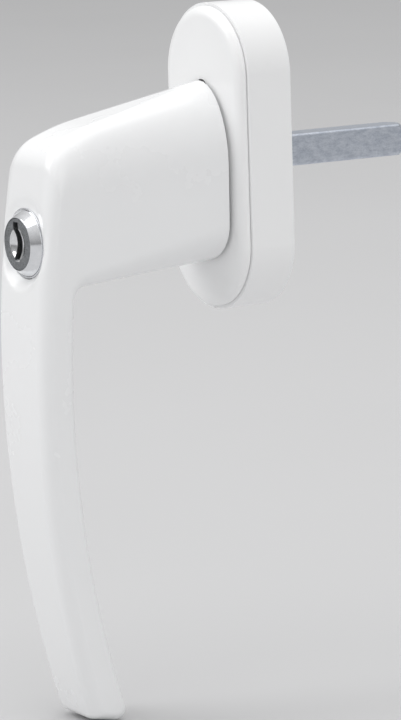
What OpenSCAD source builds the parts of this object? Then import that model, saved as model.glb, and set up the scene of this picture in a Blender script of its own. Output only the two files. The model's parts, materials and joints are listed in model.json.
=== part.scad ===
// Lockable window handle for a tilt-and-turn sash: a curved grip on a hollow neck that
// turns on a rosette, a square spindle behind it and a key cylinder that throws a bolt
// into the rosette.
//
// Frame: the origin lies on the spindle axis in the rosette's mounting plane, +Z up.
// The handle stands in front of that plane on the -Y side and the spindle points to +Y.
// Depths are given as positive distances in front of the mounting plane.

/* [Grip] */
// Distance from the mounting plane to the front of the grip
projection = 60.35; // [56:0.05:75]
// Distance from the spindle axis down to the tip of the grip
grip_drop = 119.7; // [100:0.1:150]
// Thickness of the grip where it is thinnest
grip_thickness = 8.1; // [7:0.1:12]
// Half of the handle's width at the spindle axis
half_width = 11.2; // [10.9:0.1:14]
// Loss of half width for each millimetre downwards
width_taper = 0.025; // [0:0.005:0.035]
// Radius of the long curve on the front of the grip
front_curve = 262; // [200:1:400]
// Radius of the long curve on the back of the grip
back_curve = 240; // [190:1:380]
// Rounding of the grip's front edges
front_round = 3; // [1.5:0.1:3.5]
// Rounding of the grip's back edges
back_round = 2; // [1:0.1:2.5]
// Slope of the cut end of the grip
tip_slope = 0.24; // [0:0.01:0.4]
// Distance from the spindle axis down to where the grip stands furthest forward
crown_drop = 45; // [35:1:60]

/* [Neck] */
// Height of the neck's top line above the spindle axis at the rosette
neck_top = 16.8; // [15:0.1:20]
// Depth of the neck's bottom line below the spindle axis at the rosette
neck_bottom = 22.4; // [22:0.1:27]
// Rise of the top line for each millimetre towards the rosette
top_slope = 0.225; // [0.1:0.005:0.3]
// Rise of the bottom line for each millimetre towards the rosette
bottom_slope = 0.04; // [0:0.005:0.1]
// Radius where the neck's top rolls over into the front of the grip
roll_radius = 8; // [6:0.5:12]
// Radius of the inner corner between neck and grip
inner_radius = 3.2; // [2:0.1:6]
// Gap between the neck and the face of the rosette
neck_gap = 0.6; // [0.4:0.1:1.5]

/* [Rosette] */
// Width of the rosette at the mounting plane
rosette_width = 31; // [29.5:0.1:40]
// Height of the rosette at the mounting plane
rosette_height = 67; // [64:0.1:80]
// Draft of the rosette's side from the mounting plane to the seam
rosette_draft = 0.5; // [0:0.05:1]
// Depth of the rosette's base up to the seam
base_depth = 10.7; // [10.2:0.1:14]
// Depth of the cover in front of the seam
cover_depth = 2; // [1.6:0.1:3]
// Rounding of the cover's front edge
cover_round = 1.7; // [0.5:0.1:1.9]
// Distance between the two fixing screws
screw_spacing = 43; // [43:0.1:46]
// Radius of a fixing screw's hole
screw_hole_r = 2.65; // [2.2:0.05:3]
// Radius of the recess for a screw's head
screw_head_r = 4.35; // [4:0.05:4.5]
// Radius of the locating pegs on the back
peg_r = 5; // [4:0.1:6]
// Length of the locating pegs
peg_length = 2.5; // [1.5:0.1:5]

/* [Spindle] */
// Side of the square spindle
spindle_side = 7; // [5.8:0.1:7.4]
// Reach of the spindle behind the mounting plane
spindle_reach = 39.5; // [20:0.5:60]
// Chamfer along the spindle's long edges
spindle_chamfer = 0.6; // [0.3:0.05:1]

/* [Lock] */
// Distance from the spindle axis down to the lock's axis
lock_drop = 14.5; // [14.2:0.05:14.6]
// Radius of the lock's trim ring
lock_ring_r = 7.6; // [7.4:0.05:8]
// Radius of the lock's dark face with its rim
lock_face_r = 5.75; // [5.4:0.05:5.8]
// How far the lock's face lies behind the front of the grip
lock_set_back = 0.65; // [0.3:0.05:2]
// Travel of the locking bolt
bolt_travel = 4.8; // [4:0.1:5]
// Radius of the locking bolt
bolt_r = 2.42; // [2:0.02:2.45]

/* [Hidden] */
$fn = 64;
eps = 0.01;
white = "#eef0f2";
zinc = "#8f949b";
chrome = "#c9ccd1";
dark_zinc = "#55585c";
steel = "#a9adb3";
brass = "#b9994f";
acetal = "#d8d6cc";

running = 0.06;                            // radial clearance of a shaft that turns
seated = 0.05;                             // clearance round a piece that stays put

// Depths of the rosette's and hub's layers
cover_face = base_depth + cover_depth;
seam_gap = 0.25;                           // shadow groove between base and cover
seam_inset = 0.5;
cover_step = 0.2;                          // the cover stands in this far from the base
neck_face = cover_face + neck_gap;
rear_recess = 2.6;
rear_recess_r = 8.6;
web = 1.8;                                 // wall of the base that the handle turns on
cam_back = rear_recess + web + 0.15;
flange_thickness = 1.9;
cam_front = base_depth - flange_thickness - 0.3;
cavity_r = 9.7;
flange_r = 10.7;
bush_r = 9.5;
collar_r = 8;
cam_seat_r = 6.6;
cam_seat_flat = 5.9;
journal_r = 5.8;
stub_end = 0.4;
ring_back = 0.8;
ring_thickness = 0.8;
ring_groove_r = 5.25;
washer_thickness = 0.8;
cam_flat = 7.2;                            // spindle axis to a flat of the index cam
cam_corner_r = 8.8;
leaf_thickness = 0.5;
leaf_length = 20.4;
leaf_slot_x = 10.2;
screw_seat = 4.2;
tab_z = rosette_height / 2 - 3.4;
tab_size = [6, 3.2, 1.6];

// Spindle
hub_depth = 7;                             // length of the hub inside the neck
spindle_inner = neck_face + hub_depth - 0.2;
spindle_tip_r = 2.9;
spindle_turned = 2.3;
spindle_pin_r = 1;
spindle_pin_depth = (cover_face + base_depth) / 2 - 0.4;

// Lock layers, counted as depths; the bore runs from the front of the grip
lock_z = -lock_drop;
lock_face_depth = projection - lock_set_back;
housing_length = 18.3;
trim_depth = lock_face_depth - 2.1;
trim_thickness = 0.55;
housing_r = 6.5;
bore_r = housing_r + seated;
housing_back = lock_face_depth - housing_length;
flank_r = lock_ring_r - 0.45;              // foot of the housing's cone
plug_r = lock_face_r - 0.2;
plug_back = housing_back - 0.2;
plug_neck_r = 3.9;
clip_front = plug_back - 0.1;
clip_thickness = 0.6;
driver_front = clip_front - clip_thickness - 0.1;
driver_plate = 1.4;
driver_r = 5.4;
ramp_height = bolt_travel;
head_front = driver_front - driver_plate - ramp_height - 0.3;
head_thickness = 1.7;
head_r = 5.9;
bore_back = head_front - head_thickness - bolt_travel - 0.4;
guide_r = 3.85;
guide_front = bore_back - bolt_travel;
guide_back = neck_face + 0.8;
bolt_rest = neck_face + 0.3;
socket_depth = bolt_rest - bolt_travel - 0.3;
socket_r = bolt_r + 0.08;
key_slot = [2.2, 7.7];                     // width and reach of the slot that stops turning
lug_width = 2;
lug_reach = 7.4;
pin_r = 1.25;
pin_depth = housing_back + 2.6;
keyway_width = 2.1;
keyway_height = 7.6;
keyway_rise = 0.4;
keyway_aside = -0.38;
wafer_count = 5;
wafer_thickness = 0.9;
wafer_pitch = 2.6;
wafer_first = lock_face_depth - 4.2;
wafer_width = 6;
wafer_window = [2.6, 6.8];

// The handle's outline in the Y-Z plane. It is drawn twice, once at mid width and once
// as the edge of the flat sides, and the rounding runs between the two.
front_centre = [front_curve - projection, -crown_drop];
back_centre = [back_curve - projection + grip_thickness, -crown_drop];
tip_depth = projection - 14.35;            // where grip_drop is measured on the sloping end
top_ease = 44;
top_ease_turn = 12;
grip_steps = 24;                           // facets along the grip
side_steps = 5;                            // facets round each edge

// How far the rounding reaches across the width
neck_end_round = half_width - 0.1;
neck_mid_round = 6.4;
ease_round = 6.2;
roll_round = 4.6;
tip_round = 5;
heel_round = 3;
under_round = half_width - 0.6;

function unit(v) = v / norm(v);
function angle_of(v) = let (a = atan2(v[1], v[0])) a < 0 ? a + 360 : a;
function mix(a, b, t) = a + (b - a) * t;
// Centre of a circle that touches a line (point p, direction u) at distance r along n
// and lies at distance d from c, on the side the line comes from (s = -1) or goes to (+1)
function touch(p, u, n, r, c, d, s) =
    let (q = p + n * r, w = q - c, b = w * u)
    q + u * (-b + s * sqrt(b * b - w * w + d * d));
function arc(c, r, a0, a1, n) =
    [for (i = [0 : n - 1]) let (a = mix(a0, a1, i / n)) c + r * [cos(a), sin(a)]];
function run(p, q, n) = [for (i = [0 : n - 1]) mix(p, q, i / n)];

// Outline with each edge moved inwards: top at the rosette and at the grip, front, back,
// tip, and bottom at the rosette and at the grip; then the radii of its corners
function outline(top0, top1, front, back, tip, bottom0, bottom1, ease, roll, tip_front_r,
                 tip_back_r, inner_r) =
    let (rf = front_curve - front,
         rb = back_curve + back,
         neck_length = projection - grip_thickness - neck_face,
         p_top = [-neck_face, neck_top - top0],
         u_top = unit([-1, -top_slope - (top1 - top0) / neck_length]),
         n_top = [u_top[1], -u_top[0]] * -1,
         a_ease = angle_of(u_top) + top_ease_turn,
         n_ease = [-sin(a_ease), cos(a_ease)],
         shift = n_top * ease - n_ease * (ease - roll),
         c_roll = touch(p_top + shift, u_top, n_top, 0, front_centre, rf - roll, 1),
         start = c_roll - shift,
         c_ease = start + n_top * ease,
         p_tip = [-tip_depth, -grip_drop + tip],
         u_tip = unit([1, -tip_slope]),
         n_tip = [-u_tip[1], u_tip[0]],
         c_tf = touch(p_tip, u_tip, n_tip, tip_front_r, front_centre, rf - tip_front_r, -1),
         c_tb = touch(p_tip, u_tip, n_tip, tip_back_r, back_centre, rb + tip_back_r, -1),
         p_bot = [-neck_face, -neck_bottom + bottom0],
         u_bot = unit([1, bottom_slope + (bottom0 - bottom1) / neck_length]),
         n_bot = [u_bot[1], -u_bot[0]],
         c_in = touch(p_bot, u_bot, n_bot, inner_r, back_centre, rb - inner_r, -1),
         end_front = c_roll - front_centre,
         end_tip = c_tf - front_centre,
         end_back = c_tb - back_centre,
         end_in = c_in - back_centre,
         inner_end = c_in - n_bot * inner_r)
    concat(run(p_top, start, 4),
           arc(c_ease, ease, angle_of(-n_top), angle_of(-n_ease), 3),
           arc(c_roll, roll, angle_of(-n_ease), angle_of(end_front), 5),
           arc(front_centre, rf, angle_of(end_front), angle_of(end_tip), grip_steps),
           arc(c_tf, tip_front_r, angle_of(end_tip), angle_of(-n_tip), 3),
           run(c_tf - n_tip * tip_front_r, c_tb - n_tip * tip_back_r, 2),
           arc(c_tb, tip_back_r, angle_of(-n_tip), angle_of(-end_back) + 360, 3),
           arc(back_centre, rb, angle_of(end_back), angle_of(end_in), grip_steps),
           arc(c_in, inner_r, angle_of(end_in), angle_of(-n_bot), 5),
           run(inner_end, p_bot, 6), [p_bot]);

mid_outline = outline(0, 0, 0, 0, 0, 0, 0, top_ease, roll_radius, 2.2, 2.4, inner_radius);
side_outline = outline(17.5, 11, front_round, back_round, 2.6, 9, 3, 30, 2.5, 0.8, 0.8,
                       inner_radius + back_round);

function ramp(a, b, n) = [for (i = [0 : n - 1]) mix(a, b, i / n)];
rounding = concat(ramp(neck_end_round, neck_mid_round, 4), ramp(neck_mid_round, ease_round, 3),
                  ramp(ease_round, roll_round, 5),
                  [for (i = [0 : grip_steps - 1])
                      mix(front_round, roll_round, pow(1 - i / grip_steps, 6))],
                  ramp(front_round, tip_round, 3), ramp(tip_round, tip_round, 2),
                  ramp(tip_round, back_round, 3), ramp(back_round, back_round, grip_steps),
                  ramp(back_round, heel_round, 5), ramp(heel_round, under_round, 6),
                  [under_round]);

function half_width_at(z) = half_width + width_taper * z;
function ring_point(i, turn, side) =
    let (p = mix(side_outline[i], mid_outline[i], cos(turn)))
    [side * (half_width_at(side_outline[i][1]) - rounding[i] * (1 - sin(turn))), p[0], p[1]];

module handle_skin() {
    count = len(mid_outline);
    rings = concat([for (k = [0 : side_steps]) [90 - 90 * k / side_steps, 1]],
                   [for (k = [0 : side_steps]) [90 * k / side_steps, -1]]);
    points = [for (r = rings) for (i = [0 : count - 1]) ring_point(i, r[0], r[1])];
    last = len(rings) - 1;
    walls = [for (r = [0 : last - 1]) for (i = [0 : count - 1])
        let (j = (i + 1) % count, a = r * count, b = (r + 1) * count)
        each [[a + i, b + j, b + i], [a + i, a + j, b + j]]];
    // the flat sides: the outline's two halves have as many points, so they pair up
    caps = [for (i = [0 : count / 2 - 2])
        let (j = count - 1 - i, far = last * count)
        each [[i, j - 1, i + 1], [i, j, j - 1],
              [far + i, far + i + 1, far + j - 1], [far + i, far + j - 1, far + j]]];
    polyhedron(points, concat(walls, caps), convexity = 6);
}

// ---- helpers: everything round lies along Y, between two depths ----
module rod(r, front, back, z = 0, x = 0) {
    translate([x, -back, z]) rotate([90, 0, 0]) cylinder(r = r, h = front - back);
}

module cone(r_front, r_back, front, back, z = 0) {
    translate([0, -back, z]) rotate([90, 0, 0]) cylinder(r1 = r_back, r2 = r_front, h = front - back);
}

module slab(width, height, front, back, z = 0, x = 0) {
    translate([x - width / 2, -front, z - height / 2]) cube([width, front - back, height]);
}

module ring(r_out, r_in, front, back, z = 0) {
    difference() {
        rod(r_out, front, back, z);
        rod(r_in, front + 1, back - 1, z);
    }
}

// Straight-sided shape with round ends that narrows evenly towards the front
module tapered_stadium(width, height, inset, front, back) {
    end = (height - width) / 2;
    for (s = [-1, 1]) cone(width / 2 - inset, width / 2, front, back, s * end);
    translate([0, 0, -end]) linear_extrude(2 * end)
        polygon([[-width / 2, -back], [width / 2, -back], [width / 2 - inset, -front],
                 [-width / 2 + inset, -front]]);
}

// The same outline with a rounded front edge
module rounded_stadium(width, height, round_r, front, back) {
    end = (height - width) / 2;
    depth = front - back;
    for (s = [-1, 1])
        translate([0, -back, s * end]) rotate([90, 0, 0]) rotate_extrude()
            rounded_profile(width / 2, depth, round_r, 0);
    translate([0, -back, -end]) linear_extrude(2 * end) mirror([0, 1, 0])
        rounded_profile(width / 2, depth, round_r, width / 2);
}

module rounded_profile(half, depth, round_r, left) {
    translate([-left, 0]) square([half + left, depth - round_r]);
    translate([left > 0 ? round_r - left : 0, 0])
        square([half - round_r + (left > 0 ? left - round_r : 0), depth]);
    intersection() {
        translate([-left, 0]) square([half + left, depth]);
        for (x = left > 0 ? [-1, 1] : [1]) translate([x * (half - round_r), depth - round_r])
            circle(round_r);
    }
}

// Slot with two parallel flats in a round hole
module double_flat(r, flat, front, back) {
    intersection() {
        rod(r, front, back);
        slab(2 * flat, 4 * r, front, back);
    }
}

module spindle_section(side, chamfer, front, back) {
    a = side / 2;
    b = a - chamfer;
    translate([0, -back, 0]) rotate([90, 0, 0]) linear_extrude(front - back)
        polygon([[a, -b], [a, b], [b, a], [-b, a], [-a, b], [-a, -b], [-b, -a], [b, -a]]);
}

module coil(coil_r, wire_r, turns, front, back, z) {
    sides = 6;
    per_turn = 14;
    steps = turns * per_turn;
    length = front - back - 2 * wire_r;
    points = [for (k = [0 : steps]) for (s = [0 : sides - 1])
        let (a = 360 * k / per_turn, b = 360 * s / sides, r = coil_r + wire_r * cos(b))
        [r * cos(a), -back - wire_r - length * k / steps + wire_r * sin(b), z + r * sin(a)]];
    walls = [for (k = [0 : steps - 1]) for (s = [0 : sides - 1])
        let (t = (s + 1) % sides, p = k * sides, q = (k + 1) * sides)
        each [[p + s, q + s, q + t], [p + s, q + t, p + t]]];
    caps = [[for (s = [0 : sides - 1]) s],
            [for (s = [sides - 1 : -1 : 0]) steps * sides + s]];
    polyhedron(points, concat(walls, caps), convexity = 8);
}

// ---- rosette ----
module rosette_base() {
    color(white) difference() {
        union() {
            tapered_stadium(rosette_width, rosette_height, rosette_draft, base_depth, 0);
            for (s = [-1, 1]) rod(peg_r, eps, -peg_length, s * screw_spacing / 2);
        }
        for (s = [-1, 1]) {
            rod(screw_hole_r, base_depth, -peg_length - 1, s * screw_spacing / 2);
            rod(screw_head_r, base_depth + 1, screw_seat, s * screw_spacing / 2);
            rod(socket_r, base_depth + 1, socket_depth, s * lock_drop);
            slab(tab_size[0] + 0.2, tab_size[2] + 0.2, base_depth + 1,
                 base_depth - tab_size[1] - 0.2, s * tab_z);
            slab(leaf_slot_x - cam_flat, leaf_length + 0.2, cam_front + 0.15,
                 rear_recess + web, 0, s * (leaf_slot_x + cam_flat) / 2);
        }
        rod(rear_recess_r, rear_recess, -1);
        rod(journal_r + running, base_depth, 0);
        rod(cavity_r, base_depth, rear_recess + web);
        rod(flange_r + seated, base_depth + 1, base_depth - flange_thickness - 0.15);
    }
}

module rosette_cover() {
    width = rosette_width - 2 * (rosette_draft + cover_step);
    height = rosette_height - 2 * (rosette_draft + cover_step);
    edge_round = min(cover_round, cover_depth - seam_gap - 0.05);
    color(white) difference() {
        union() {
            rounded_stadium(width, height, edge_round, cover_face, base_depth + seam_gap);
            tapered_stadium(width - 2 * seam_inset, height - 2 * seam_inset, 0,
                            base_depth + seam_gap + eps, base_depth);
            for (s = [-1, 1]) slab(tab_size[0], tab_size[2], base_depth + eps,
                                   base_depth - tab_size[1], s * tab_z);
        }
        rod(bush_r + seated, cover_face + 1, base_depth - 1);
        for (s = [-1, 1]) rod(socket_r, cover_face + 1, base_depth - 1, s * lock_drop);
    }
}

module bearing_bush() {
    back = base_depth - flange_thickness - 0.1;
    color(acetal) difference() {
        union() {
            rod(flange_r, base_depth - 0.05, back);
            rod(bush_r, cover_face + 0.2, back);
        }
        rod(collar_r + running, cover_face + 1, back - 1);
    }
}

module detent_leaf(side) {
    slab(leaf_thickness, leaf_length, cam_front - 0.2, cam_back + 0.2, 0,
         side * (cam_flat + 0.05 + leaf_thickness / 2));
}

module detent_spring_left() {
    color(steel) detent_leaf(-1);
}

module detent_spring_right() {
    color(steel) detent_leaf(1);
}

// ---- handle ----
module handle_body() {
    color(white) difference() {
        handle_skin();
        union() {
            rod(collar_r + seated, neck_face + hub_depth, neck_face - 1);
            // dish round the trim ring, lock bore, bolt bore and its way out
            cone(lock_ring_r + 2.5, lock_ring_r + 0.25, trim_depth + 2.2, trim_depth, lock_z);
            rod(lock_ring_r + 0.1, trim_depth + 2, trim_depth - trim_thickness, lock_z);
            rod(bore_r, lock_face_depth + 9, bore_back, lock_z);
            slab(key_slot[0], bore_r, trim_depth - trim_thickness, bore_back,
                 lock_z - key_slot[1] + bore_r / 2);
            rod(guide_r + seated, bore_back + 1, guide_back, lock_z);
            rod(socket_r, guide_back + 1, neck_face - 1, lock_z);
            translate([0, -pin_depth, lock_z - 30])
                cylinder(r = pin_r + seated / 2, h = 28, $fn = 32);
        }
    }
}

module hub() {
    color(zinc) difference() {
        union() {
            rod(collar_r, neck_face + hub_depth - 0.05, cam_front + 0.1);
            double_flat(cam_seat_r, cam_seat_flat, cam_front + 0.2, cam_back);
            rod(journal_r, cam_back + eps, stub_end);
        }
        ring(journal_r + 1, ring_groove_r, ring_back + ring_thickness + 0.05, ring_back - 0.05);
        slab(spindle_side + 0.1, spindle_side + 0.1, neck_face + hub_depth + 1, -1);
        translate([0, -spindle_pin_depth, 0]) rotate([0, 90, 0])
            cylinder(r = spindle_pin_r + seated / 2, h = 4 * collar_r, center = true, $fn = 32);
    }
}

module index_cam() {
    color(zinc) difference() {
        intersection() {
            slab(2 * cam_flat, 2 * cam_flat, cam_front, cam_back);
            rod(cam_corner_r, cam_front, cam_back);
        }
        double_flat(cam_seat_r + seated, cam_seat_flat + seated, cam_front + 1, cam_back - 1);
    }
}

module thrust_washer() {
    color(brass) ring(rear_recess_r - 0.3, journal_r + running, rear_recess - 0.05,
                      rear_recess - 0.05 - washer_thickness);
}

module retaining_ring() {
    color(steel) difference() {
        ring(journal_r + 1.4, ring_groove_r + seated, ring_back + ring_thickness, ring_back);
        slab(2.6, 2 * journal_r, ring_back + ring_thickness + 1, ring_back - 1, journal_r + 1);
    }
}

module square_spindle() {
    color(zinc) difference() {
        intersection() {
            spindle_section(spindle_side, spindle_chamfer, spindle_inner, -spindle_reach);
            union() {
                rod(spindle_side, spindle_inner, -spindle_reach + spindle_turned);
                cone(spindle_side / 2 + 1.2, spindle_tip_r, -spindle_reach + spindle_turned + eps,
                     -spindle_reach);
            }
        }
        translate([0, -spindle_pin_depth, 0]) rotate([0, 90, 0])
            cylinder(r = spindle_pin_r + seated / 2, h = 2 * spindle_side, center = true, $fn = 32);
    }
}

module spindle_pin() {
    color(steel) translate([0, -spindle_pin_depth, 0]) rotate([0, 90, 0])
        cylinder(r = spindle_pin_r, h = 2 * collar_r - 0.4, center = true, $fn = 32);
}

// ---- lock, on its own axis below the spindle ----
module lock_trim_ring() {
    color(chrome) ring(lock_ring_r, flank_r + seated, trim_depth, trim_depth - trim_thickness,
                       lock_z);
}

module lock_housing() {
    color(chrome) difference() {
        union() {
            cone(lock_face_r, flank_r, lock_face_depth, trim_depth + 0.1, lock_z);
            rod(flank_r, trim_depth + 0.1 + eps, trim_depth - trim_thickness, lock_z);
            rod(housing_r, trim_depth, housing_back, lock_z);
            slab(lug_width, housing_r, trim_depth - trim_thickness - 1, housing_back,
                 lock_z - lug_reach + housing_r / 2);
        }
        rod(plug_r + running, lock_face_depth + 1, housing_back - 1, lock_z);
        translate([0, -pin_depth, lock_z - 20]) cylinder(r = pin_r + seated / 2,
                                                         h = 20 - plug_r - 0.6, $fn = 32);
    }
}

module housing_pin() {
    top = lock_z - plug_r - 0.7;
    bottom = -neck_bottom - bottom_slope * (pin_depth - neck_face) + 0.25;
    color(steel) translate([0, -pin_depth, bottom]) cylinder(r = pin_r, h = top - bottom, $fn = 32);
}

module bolt_guide() {
    color(brass) ring(guide_r, socket_r, guide_front, guide_back + 0.05, lock_z);
}

// Keyway: three slots, each beside the last, that a profiled key follows
module keyway() {
    third = keyway_height / 3;
    for (k = [-1 : 1])
        slab(keyway_width, third + 0.6, lock_face_depth + 1, plug_back + 1,
             lock_z + keyway_rise + k * third * 0.98, keyway_aside * (1 + 0.3 * k));
}

module wafer_slot(k, gap) {
    front = wafer_first - k * wafer_pitch;
    slab(wafer_width + gap, 2 * plug_r + 1, front + gap / 2, front - wafer_thickness - gap / 2,
         lock_z);
}

module wafer_spring_seat(k, gap) {
    front = wafer_first - k * wafer_pitch;
    slab(0.9 + gap, 2.4 + gap, front - 0.05 + gap / 2, front - wafer_thickness + 0.05 - gap / 2,
         lock_z, wafer_width / 2 + 0.6);
}

module lock_plug() {
    color(dark_zinc) difference() {
        union() {
            rod(plug_r, lock_face_depth - 0.05, plug_back, lock_z);
            rod(plug_neck_r, plug_back + eps, driver_front - driver_plate, lock_z);
        }
        keyway();
        translate([0, -lock_face_depth - 6.1, lock_z]) sphere(r = 7);
        for (k = [0 : wafer_count - 1]) {
            wafer_slot(k, 0.1);
            wafer_spring_seat(k, 0.1);
        }
    }
}

module wafers() {
    color(brass) difference() {
        intersection() {
            for (k = [0 : wafer_count - 1]) wafer_slot(k, 0);
            rod(plug_r - seated, lock_face_depth, plug_back, lock_z);
        }
        slab(wafer_window[0], wafer_window[1], lock_face_depth, plug_back, lock_z + keyway_rise,
             keyway_aside);
    }
}

module wafer_springs() {
    color(steel) for (k = [0 : wafer_count - 1]) wafer_spring_seat(k, 0);
}

module plug_clip() {
    color(steel) difference() {
        ring(housing_r - 0.3, plug_neck_r + seated, clip_front, clip_front - clip_thickness, lock_z);
        slab(2.4, housing_r, clip_front + 1, clip_front - clip_thickness - 1,
             lock_z + housing_r / 2 + plug_neck_r - 1);
    }
}

// Face cam: steps that climb by the bolt's travel over a quarter turn
module bolt_driver() {
    plate_back = driver_front - driver_plate;
    step_count = 6;
    turn = 90 / step_count;
    follower_half = 17;
    top = 90 + follower_half + 90 + turn;
    color(zinc) {
        ring(driver_r, plug_neck_r + seated, driver_front, plate_back, lock_z);
        for (k = [1 : step_count])
            translate([0, -plate_back - 0.5, lock_z]) rotate([90, 0, 0]) mirror([0, 0, 1])
                linear_extrude(ramp_height * (k * turn - 2) / 90 + 0.5) difference() {
                    sector(driver_r - 0.2, 90 + follower_half + k * turn, top);
                    circle(plug_neck_r + 0.15);
                }
    }
}

module sector(r, start, end) {
    intersection() {
        circle(r);
        polygon(concat([[0, 0]], [for (i = [0 : 6]) 2 * r * [cos(mix(start, end, i / 6)),
                                                             sin(mix(start, end, i / 6))]]));
    }
}

module locking_bolt() {
    nose_r = 0.5;
    color(steel) {
        rod(bolt_r, head_front - eps, bolt_rest + 0.5, lock_z);
        cone(bolt_r, bolt_r - 0.5, bolt_rest + 0.5, bolt_rest, lock_z);
        rod(head_r, head_front, head_front - head_thickness, lock_z);
        slab(lug_width, head_r, head_front, head_front - head_thickness,
             lock_z - lug_reach + head_r / 2);
        rod(nose_r, driver_front - driver_plate - 0.15, head_front - 0.1,
            lock_z + driver_r - 0.2 - 0.65);
    }
}

module bolt_spring() {
    color(steel) coil(3.2, 0.3, 5, head_front - head_thickness - 0.1, guide_front + 0.1, lock_z);
}

rosette_base();
rosette_cover();
bearing_bush();
detent_spring_left();
detent_spring_right();
handle_body();
hub();
index_cam();
thrust_washer();
retaining_ring();
square_spindle();
spindle_pin();
lock_trim_ring();
lock_housing();
housing_pin();
bolt_guide();
lock_plug();
wafers();
wafer_springs();
plug_clip();
bolt_driver();
locking_bolt();
bolt_spring();
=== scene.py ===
"""Visual model of a lockable window handle: curved grip, rosette, key lock and square spindle."""

import json
import logging
import math
from dataclasses import dataclass, field
from enum import Enum
from typing import Callable, Iterable

import bpy
from mathutils import Matrix, Vector


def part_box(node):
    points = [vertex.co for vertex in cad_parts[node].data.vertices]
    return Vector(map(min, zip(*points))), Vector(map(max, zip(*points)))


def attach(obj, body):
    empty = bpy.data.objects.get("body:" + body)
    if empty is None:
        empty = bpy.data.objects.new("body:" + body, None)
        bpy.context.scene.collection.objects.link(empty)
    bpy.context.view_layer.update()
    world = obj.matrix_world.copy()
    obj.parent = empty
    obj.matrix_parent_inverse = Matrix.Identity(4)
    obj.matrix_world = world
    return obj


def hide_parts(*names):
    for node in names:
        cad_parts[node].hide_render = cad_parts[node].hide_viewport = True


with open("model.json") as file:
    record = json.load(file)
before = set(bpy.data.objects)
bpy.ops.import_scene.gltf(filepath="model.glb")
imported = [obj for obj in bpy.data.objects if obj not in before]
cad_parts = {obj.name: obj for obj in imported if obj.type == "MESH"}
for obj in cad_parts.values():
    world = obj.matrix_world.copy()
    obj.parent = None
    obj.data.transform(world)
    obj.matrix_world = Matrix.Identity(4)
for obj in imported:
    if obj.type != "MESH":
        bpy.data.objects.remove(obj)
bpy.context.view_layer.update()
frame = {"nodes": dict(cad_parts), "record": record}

MM = 0.001
LOCK_HEIGHT = -14.5                         # the lock's axis, below the spindle's

logging.basicConfig(level=logging.INFO, format="%(message)s")
LOG = logging.getLogger("window_handle")

Point2 = tuple[float, float]
Socket = bpy.types.NodeSocket


# ---------------------------------------------------------------- modelling bench

class Cut(Enum):
    """How a tool solid acts on a piece."""

    AWAY = "DIFFERENCE"
    KEEP = "INTERSECT"
    ADD = "UNION"


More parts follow.
